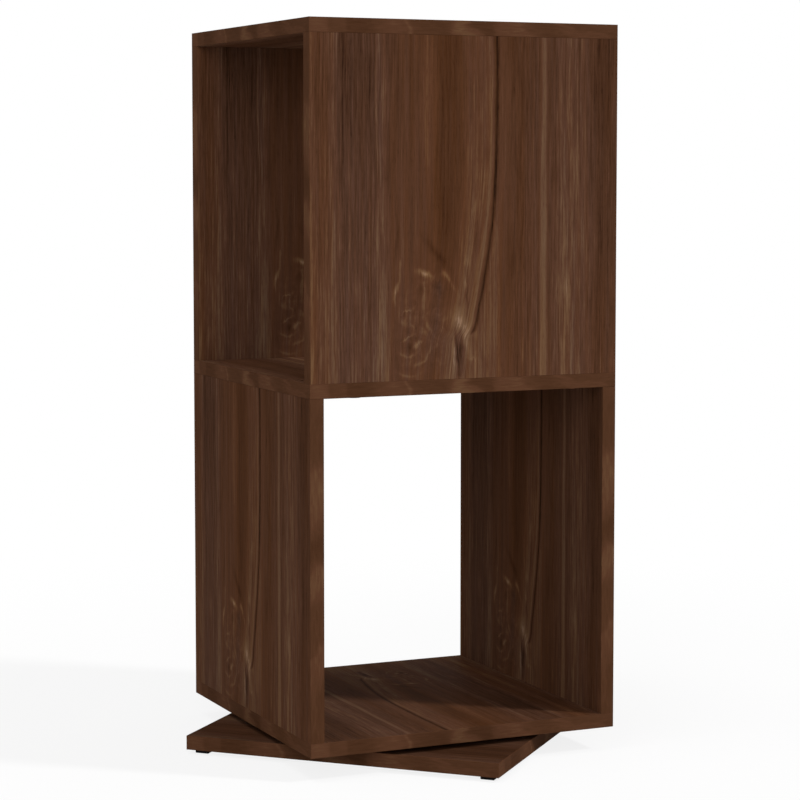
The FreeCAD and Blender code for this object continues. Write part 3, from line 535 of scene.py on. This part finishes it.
# across is the strip's width and runs are its length, for the front and then the sides of a lying board
def bandMaterial(name, tones, across, runs):
    material = newMaterial(name)
    add = partial(addNode, material.node_tree)
    where = add("ShaderNodeTexCoord").outputs
    places = []
    for direction, start in (across, *runs):
        run = add("ShaderNodeVectorMath", [where["Object"], direction], operation="DOT_PRODUCT")
        places.append(add("ShaderNodeMath", [run.outputs["Value"], start], operation="ADD"))
    width, along = places[:2]
    if len(runs) > 1:
        facing = add("ShaderNodeVectorMath", [where["Normal"], Vector(runs[0][0]).normalized()],
                     operation="DOT_PRODUCT").outputs["Value"]
        turnedAway = add("ShaderNodeMath", [facing], operation="ABSOLUTE")
        onSide = add("ShaderNodeMath", [turnedAway, 0.5], operation="GREATER_THAN")
        along = add("ShaderNodeMix", {"Factor": onSide, "A": along, "B": places[2]}, data_type="FLOAT")
    patterns = []
    for sizeAlong, sizeAcross, seed in (edgeBand["blotch"], edgeBand["streak"]):
        flat = add("ShaderNodeCombineXYZ", [along, width, seed])
        place = add("ShaderNodeVectorMath", [flat, (1 / sizeAlong, 1 / sizeAcross, 1.0)],
                    operation="MULTIPLY")
        noise = add("ShaderNodeTexNoise", {"Vector": place, "Scale": 1.0, "Detail": edgeBand["detail"],
                                           "Distortion": edgeBand["distortion"]})
        patterns.append(add("ShaderNodeMath", [noise, 0.5], operation="SUBTRACT"))
    blotch, streak = patterns
    share = add("ShaderNodeMath", [along, edgeBand["length"]], operation="DIVIDE")
    leaning = add("ShaderNodeMath", [width, edgeBand["lean"] / edgeBand["length"]], operation="MULTIPLY")
    warped = add("ShaderNodeMath", [blotch, edgeBand["warp"] / edgeBand["length"], leaning],
                 operation="MULTIPLY_ADD")
    growing = add("ShaderNodeMath", [share, share], operation="MULTIPLY")
    share = add("ShaderNodeMath", [warped, growing, share], operation="MULTIPLY_ADD")
    tone = add("ShaderNodeFloatCurve", {"Value": share}, tones)
    tone = add("ShaderNodeMath", [streak, edgeBand["streakTone"], tone], operation="MULTIPLY_ADD")
    printed = add("ShaderNodeValToRGB", [tone], oakPrint["tones"])
    colour = add("ShaderNodeVectorMath", [printed, edgeBand["tint"]], operation="MULTIPLY")
    gloss = add("ShaderNodeMath", [streak, edgeBand["glossSpread"], edgeBand["gloss"]],
                operation="MULTIPLY_ADD")
    relief = add("ShaderNodeBump", {"Strength": edgeBand["embossStrength"], "Distance": oakPrint["emboss"],
                                    "Height": streak})
    strip = add("ShaderNodeBsdfPrincipled", {
        "Base Color": colour, "Roughness": gloss, "IOR": oakPrint["refraction"],
        "Specular IOR Level": oakPrint["sheen"], "Normal": relief})
    add("ShaderNodeOutputMaterial", {"Surface": strip})
    return material


halfLength = edgeBand["length"] / 2
frontRun = ((perMetre, 0, 0), halfLength)
sideRun = ((0, -perMetre * sideStretch, 0), halfLength)
baseRuns = [((slantStep, slantStep, 0), halfLength), ((slantStep, -slantStep, 0), halfLength)]
for board in ("base_plate", "bottom_panel", "middle_shelf", "top_panel"):
    upwards = ((0, 0, perMetre), -middleHeight(board + "_edge_bands"))
    runs = baseRuns if board == "base_plate" else [frontRun, sideRun]
    dress(bandMaterial("oakBand_" + board, edgeBand["lyingRun"], upwards, runs), board + "_edge_bands")
for board, sideways in (("lower_left", (perMetre, 0, 0)), ("lower_right", (perMetre, 0, 0)),
                        ("upper_front", (0, perMetre, 0)), ("upper_back", (0, perMetre, 0))):
    low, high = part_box(board + "_edge_bands")
    middle = (low + high) / 2
    across = (sideways, -middle.dot(Vector(sideways)))
    downwards = ((0, 0, -perMetre), middle.z * perMetre + halfLength)
    dress(bandMaterial("oakBand_" + board, edgeBand["uprightRun"], across, [downwards]),
          board + "_edge_bands")
print("edge bands dressed")

# Small parts' finishes: two close colours, mottled at the grain of the material
mottling = {
    "detail": 4.0,
    "colourRange": (0.32, 0.68),     # noise at the first and the second colour
    "glossRange": (0.3, 0.7),        # noise at the first and the second roughness
    "reliefStrength": 0.6,
}


# grain in millimetres, relief in metres
def mottledMaterial(name, colours, grain, gloss, metallic=0.0, relief=0.0, stretch=(1, 1, 1), **shading):
    material = newMaterial(name)
    add = partial(addNode, material.node_tree)
    place = add("ShaderNodeTexCoord").outputs["Object"]
    scale = [part * perMetre / grain for part in stretch]
    spread = add("ShaderNodeVectorMath", [place, scale], operation="MULTIPLY")
    noise = add("ShaderNodeTexNoise", {"Vector": spread, "Scale": 1.0, "Detail": mottling["detail"]})
    colour = add("ShaderNodeValToRGB", [noise], list(zip(mottling["colourRange"], colours)))
    low, high = mottling["glossRange"]
    rough = add("ShaderNodeMapRange", {"Value": noise, "From Min": low, "From Max": high,
                                       "To Min": gloss[0], "To Max": gloss[1]})
    bump = add("ShaderNodeBump", {"Strength": mottling["reliefStrength"], "Distance": relief,
                                  "Height": noise})
    finish = add("ShaderNodeBsdfPrincipled", {
        "Base Color": colour, "Roughness": rough, "Metallic": metallic, "Normal": bump, **shading})
    add("ShaderNodeOutputMaterial", {"Surface": finish})
    return material


# Moulded black rubber: dull, with a fine grain
padRubber = mottledMaterial("mouldedBlackRubber", ("#0A0A0A", "#161515"), grain=0.7, gloss=(0.75, 0.9),
                            relief=0.00004, **{"IOR": 1.52, "Specular IOR Level": 0.05})
# Zinc-plated steel: bright and a little blue, with uneven plating
platedSteel = mottledMaterial("zincPlatedSteel", ("#A9ADB2", "#C4C7CB"), grain=2.4, gloss=(0.24, 0.38),
                              metallic=1.0, relief=0.00001)
# Die-cast zinc: greyer and rougher, as it leaves the mould
castZinc = mottledMaterial("dieCastZinc", ("#8F9194", "#A7A9AB"), grain=0.9, gloss=(0.40, 0.55),
                           metallic=1.0, relief=0.00002)
# Polished bearing steel: mirror bright, with faint polishing clouds
ballSteel = mottledMaterial("polishedBallSteel", ("#CFD1D3", "#DADBDD"), grain=1.2, gloss=(0.06, 0.12),
                            metallic=1.0)
# Natural nylon: milky, slightly yellow, silky from the mould
cageNylon = mottledMaterial("mouldedNaturalNylon", ("#D9D4C3", "#E5E1D3"), grain=1.5, gloss=(0.42, 0.52),
                            relief=0.00002, **{"IOR": 1.53})
# Turned beech: pale pink-brown with short dark flecks along the dowel
dowelBeech = mottledMaterial("turnedBeech", ("#A97F55", "#D0AC80"), grain=0.5, gloss=(0.55, 0.70),
                             relief=0.00003, stretch=(1, 1, 0.12),
                             **{"IOR": 1.5, "Specular IOR Level": 0.3})
dress(padRubber, "foot_pad_rear", "foot_pad_left", "foot_pad_front", "foot_pad_right")
dress(platedSteel, "lower_bearing_plate", "upper_bearing_plate", "lower_bearing_screws",
      "upper_bearing_screws", "pivot_rivet")
dress(castZinc, "top_cam_locks")
dress(cageNylon, "ball_cage")
print("fittings dressed")

sharpAngle = math.radians(35)    # turned pieces are smooth where their faces meet at less than this


# Fittings that repeat: one turned piece, set out on four corners by Geometry Nodes
def turnedMesh(name, rings, sides):
    mesh = bpy.data.meshes.new(name)
    shape = bmesh.new()
    angles = [2 * math.pi * step / sides for step in range(sides)]
    loops = []
    for height, radius in rings:
        loop = []
        for angle in angles:
            reach = millimetre * (radius(angle) if callable(radius) else radius)
            spot = (reach * math.cos(angle), reach * math.sin(angle), millimetre * height)
            loop.append(shape.verts.new(spot))
        loops.append(loop)
    for upper, lower in zip(loops, loops[1:]):
        for step in range(sides):
            shape.faces.new((upper[step - 1], upper[step], lower[step], lower[step - 1]))
    shape.faces.new(loops[0])
    shape.faces.new(loops[-1])
    bmesh.ops.recalc_face_normals(shape, faces=shape.faces)
    for face in shape.faces:
        face.smooth = True
    shape.to_mesh(mesh)
    shape.free()
    mesh.set_sharp_from_angle(angle=sharpAngle)
    return mesh


# Rings of a thread: a sharp ridge that winds round the core and runs out at both ends
def threadRings(start, end, core, crest, pitch, steps=6, ridgeShare=0.45):
    count = round(abs(end - start) / pitch * steps)
    rings = []
    for index in range(count + 1):
        height = start + (end - start) * index / count
        runOut = min(1.0, 2 * index / steps, 2 * (count - index) / steps)

        def radius(angle, height=height, runOut=runOut):
            phase = (angle / (2 * math.pi) + height / pitch) % 1
            ridge = max(0.0, 1 - abs(2 * phase - 1) / ridgeShare)
            return core / 2 + runOut * ridge * (crest - core) / 2

        rings.append((height, radius))
    return rings


def hexagon(width):
    sector = math.pi / 3
    return lambda angle: width / 2 / math.cos((angle + sector / 2) % sector - sector / 2)


def treeWithInputs(name, inputs):
    tree = bpy.data.node_groups.new(name, "GeometryNodeTree")
    for label, kind in inputs:
        tree.interface.new_socket(label, in_out="INPUT", socket_type="NodeSocket" + kind)
    tree.interface.new_socket("Geometry", in_out="OUTPUT", socket_type="NodeSocketGeometry")
    return tree


cornerInputs = [("Half Width", "Float"), ("Half Depth", "Float"), ("Level", "Float"), ("Turn", "Float"),
                ("Finish", "Material")]


# Four corners of a rectangle that lies at a level, turned about the middle
def cornerPoints(add, given):
    width = add("ShaderNodeMath", [given["Half Width"], 2.0], operation="MULTIPLY")
    depth = add("ShaderNodeMath", [given["Half Depth"], 2.0], operation="MULTIPLY")
    grid = add("GeometryNodeMeshGrid", {"Size X": width, "Size Y": depth, "Vertices X": 2, "Vertices Y": 2})
    level = add("ShaderNodeCombineXYZ", {"Z": given["Level"]})
    turn = add("ShaderNodeCombineXYZ", {"Z": given["Turn"]})
    return add("GeometryNodeTransform", {"Geometry": grid, "Translation": level, "Rotation": turn})


# Points, shape and finish joined into one plain mesh
def endTree(add, points, shape, rotation, finish):
    stood = add("GeometryNodeInstanceOnPoints", {"Points": points, "Instance": shape, "Rotation": rotation})
    real = add("GeometryNodeRealizeInstances", [stood])
    add("NodeGroupOutput", [add("GeometryNodeSetMaterial", {"Geometry": real, "Material": finish})])


cornersTree = treeWithInputs("fittingsOnFourCorners", [
    ("Geometry", "Geometry"), *cornerInputs, ("Tilt", "Float")])
add = partial(addNode, cornersTree)
given = add("NodeGroupInput").outputs
tilt = add("ShaderNodeCombineXYZ", {"X": given["Tilt"], "Z": given["Turn"]})
endTree(add, cornerPoints(add, given), given["Geometry"], tilt, given["Finish"])

# Fluted dowels: a star section drawn along the dowel, slimmer at both ends
dowelTree = treeWithInputs("flutedDowels", [
    *cornerInputs, ("Diameter", "Float"), ("Length", "Float"), ("Flute Depth", "Float"), ("Flutes", "Int"),
    ("Bevel Share", "Float"), ("End Share", "Float"), ("Steps", "Int")])
add = partial(addNode, dowelTree)
given = add("NodeGroupInput").outputs
axisEnd = add("ShaderNodeCombineXYZ", {"Z": given["Length"]})
axis = add("GeometryNodeCurvePrimitiveLine", {"End": axisEnd})
steps = add("GeometryNodeResampleCurve", {"Curve": axis, "Count": given["Steps"]})
share = add("GeometryNodeSplineParameter").outputs["Factor"]
fromFarEnd = add("ShaderNodeMath", [1.0, share], operation="SUBTRACT")
fromEnd = add("ShaderNodeMath", [share, fromFarEnd], operation="MINIMUM")
slim = add("ShaderNodeMapRange", {"Value": fromEnd, "From Max": given["Bevel Share"],
                                  "To Min": given["End Share"]})
tapered = add("GeometryNodeSetCurveRadius", {"Curve": steps, "Radius": slim})
outer = add("ShaderNodeMath", [given["Diameter"], 0.5], operation="MULTIPLY")
inner = add("ShaderNodeMath", [outer, given["Flute Depth"]], operation="SUBTRACT")
section = add("GeometryNodeCurveStar", {"Points": given["Flutes"], "Inner Radius": inner,
                                        "Outer Radius": outer})
dowel = add("GeometryNodeCurveToMesh", {"Curve": tapered, "Profile Curve": section, "Fill Caps": True})
endTree(add, cornerPoints(add, given), dowel, (0, 0, 0), given["Finish"])

# Bearing balls: spheres on a circle
ballTree = treeWithInputs("ballsOnRace", [
    ("Balls", "Int"), ("Race Radius", "Float"), ("Ball Radius", "Float"), ("Segments", "Int"),
    ("Rings", "Int"), ("Level", "Float"), ("Finish", "Material")])
add = partial(addNode, ballTree)
given = add("NodeGroupInput").outputs
circle = add("GeometryNodeMeshCircle", {"Vertices": given["Balls"], "Radius": given["Race Radius"]})
level = add("ShaderNodeCombineXYZ", {"Z": given["Level"]})
race = add("GeometryNodeTransform", {"Geometry": circle, "Translation": level})
sphere = add("GeometryNodeMeshUVSphere", {"Segments": given["Segments"], "Rings": given["Rings"],
                                          "Radius": given["Ball Radius"]})
smooth = add("GeometryNodeSetShadeSmooth", {"Geometry": sphere})
endTree(add, race, smooth, (0, 0, 0), given["Finish"])


# Runs a tree, keeps its result as a plain mesh and puts that in place of the CAD node
def repeatedPiece(name, mesh, tree, values, node, body):
    piece = bpy.data.objects.new(name, mesh)
    bpy.context.scene.collection.objects.link(piece)
    maker = piece.modifiers.new("maker", "NODES")
    maker.node_group = tree
    for socket in tree.interface.items_tree:
        if socket.in_out == "INPUT" and socket.name in values:
            maker[socket.identifier] = values[socket.name]
    ready = piece.evaluated_get(bpy.context.evaluated_depsgraph_get())
    result = bpy.data.meshes.new_from_object(ready)
    result.materials.clear()
    result.materials.append(values["Finish"])
    result.polygons.foreach_set("material_index", [0] * len(result.polygons))
    piece.modifiers.clear()
    piece.data = result
    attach(piece, body)
    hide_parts(node)


# Joint screw, down from the top of its head: hexagon socket, plain neck through the board, coarse thread
jointScrew = {
    "head": 10.0,
    "socket": 4.0,
    "socketDepth": 3.0,
    "neck": 7.0,
    "neckEnd": 15.0,
    "neckTaper": 1.0,
    "crest": 5.0,
    "core": 3.6,
    "pitch": 3.0,
    "length": 50.0,
    "tip": 4.0,
    "tipWidth": 2.5,
    "sides": 36,
}
headLength = (jointScrew["head"] - jointScrew["neck"]) / 2
threadStart = -jointScrew["neckEnd"] - jointScrew["neckTaper"]
threadEnd = jointScrew["tip"] - jointScrew["length"]
screwRings = [
    (-jointScrew["socketDepth"], hexagon(jointScrew["socket"])),
    (0.0, hexagon(jointScrew["socket"])),
    (0.0, jointScrew["head"] / 2),
    (-headLength, jointScrew["neck"] / 2),
    (-jointScrew["neckEnd"], jointScrew["neck"] / 2),
    *threadRings(threadStart, threadEnd, jointScrew["core"], jointScrew["crest"], jointScrew["pitch"]),
    (-jointScrew["length"], jointScrew["tipWidth"] / 2),
]
headReach = jointScrew["head"] / 2 * millimetre
for node, headDown in (("bottom_joint_screws", True), ("shelf_lower_screws", False),
                       ("shelf_upper_screws", True)):
    low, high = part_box(node)
    values = {"Half Width": high.x - headReach, "Half Depth": high.y - headReach,
              "Level": low.z if headDown else high.z, "Tilt": math.pi if headDown else 0.0,
              "Finish": platedSteel}
    repeatedPiece(node + "_threaded", turnedMesh(node, screwRings, jointScrew["sides"]), cornersTree,
                  values, node, "cabinet")

# Cam bolt, up from its head: head, plain neck and a thread that bites into the top panel
camBolt = {
    "head": 7.0,
    "headLength": 3.0,
    "bevel": 0.4,
    "neck": 5.0,
    "reach": 34.0,        # from the middle of the head to the thread
    "neckTaper": 0.2,
    "crest": 6.0,
    "core": 4.6,
    "pitch": 2.0,
    "threadLength": 11.0,
    "sides": 28,
}
threadStart = camBolt["headLength"] / 2 + camBolt["reach"]
threadEnd = threadStart + camBolt["threadLength"]
boltRings = [
    (0.0, camBolt["head"] / 2 - camBolt["bevel"]),
    (camBolt["bevel"], camBolt["head"] / 2),
    (camBolt["headLength"] - camBolt["bevel"], camBolt["head"] / 2),
    (camBolt["headLength"], camBolt["neck"] / 2),
    (threadStart - camBolt["neckTaper"], camBolt["neck"] / 2),
    *threadRings(threadStart, threadEnd, camBolt["core"], camBolt["crest"], camBolt["pitch"]),
]
low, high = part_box("top_cam_bolts")
boltReach = camBolt["head"] / 2 * millimetre
repeatedPiece("top_cam_bolts_threaded", turnedMesh("camBolt", boltRings, camBolt["sides"]), cornersTree,
              {"Half Width": high.x - boltReach, "Half Depth": high.y - boltReach, "Level": low.z,
               "Finish": platedSteel}, "top_cam_bolts", "cabinet")

# Pad nail, up from its flat head to a drawn point
padNail = {
    "head": 6.0,
    "headThickness": 0.8,
    "lowerBevel": 0.3,
    "upperBevel": 0.2,
    "collar": 0.15,
    "collarHeight": 0.3,
    "shank": 1.8,
    "length": 11.8,
    "point": 2.5,
    "tip": 0.1,
    "sides": 24,
}
nailRings = [
    (0.0, padNail["head"] / 2 - padNail["lowerBevel"]),
    (padNail["lowerBevel"], padNail["head"] / 2),
    (padNail["headThickness"] - padNail["upperBevel"], padNail["head"] / 2),
    (padNail["headThickness"], padNail["shank"] / 2 + padNail["collar"]),
    (padNail["headThickness"] + padNail["collarHeight"], padNail["shank"] / 2),
    (padNail["length"] - padNail["point"], padNail["shank"] / 2),
    (padNail["length"], padNail["tip"]),
]
low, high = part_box("foot_nails")
nailPlace = (high.x - padNail["head"] / 2 * millimetre) * slant
repeatedPiece("foot_nails_drawn", turnedMesh("padNail", nailRings, padNail["sides"]), cornersTree,
              {"Half Width": nailPlace, "Half Depth": nailPlace, "Level": low.z, "Turn": math.pi / 4,
               "Finish": platedSteel}, "foot_nails", "base")

# Dowel, by the tree's own inputs
woodDowel = {
    "Diameter": 8.0 * millimetre,
    "Length": 30.0 * millimetre,
    "Flute Depth": 0.35 * millimetre,
    "Flutes": 24,
    "Bevel Share": 1 / 30,    # of the length
    "End Share": 0.75,        # of the diameter
    "Steps": 31,
    "Finish": dowelBeech,
}
halfDowel = woodDowel["Diameter"] / 2
for node in ("bottom_joint_dowels", "shelf_lower_dowels", "shelf_upper_dowels", "top_joint_dowels"):
    low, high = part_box(node)
    values = {**woodDowel, "Half Width": high.x - halfDowel, "Half Depth": high.y - halfDowel,
              "Level": low.z}
    repeatedPiece(node + "_fluted", bpy.data.meshes.new(node), dowelTree, values, node, "cabinet")

raceBalls = {
    "Balls": 24,
    "Segments": 24,
    "Rings": 14,
    "Finish": ballSteel,
}
low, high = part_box("bearing_balls")
ballRadius = (high.z - low.z) / 2
repeatedPiece("bearing_balls_polished", bpy.data.meshes.new("bearingBalls"), ballTree,
              {**raceBalls, "Race Radius": high.x - ballRadius, "Ball Radius": ballRadius,
               "Level": (low.z + high.z) / 2}, "bearing_balls", "cage")
print("fittings made")
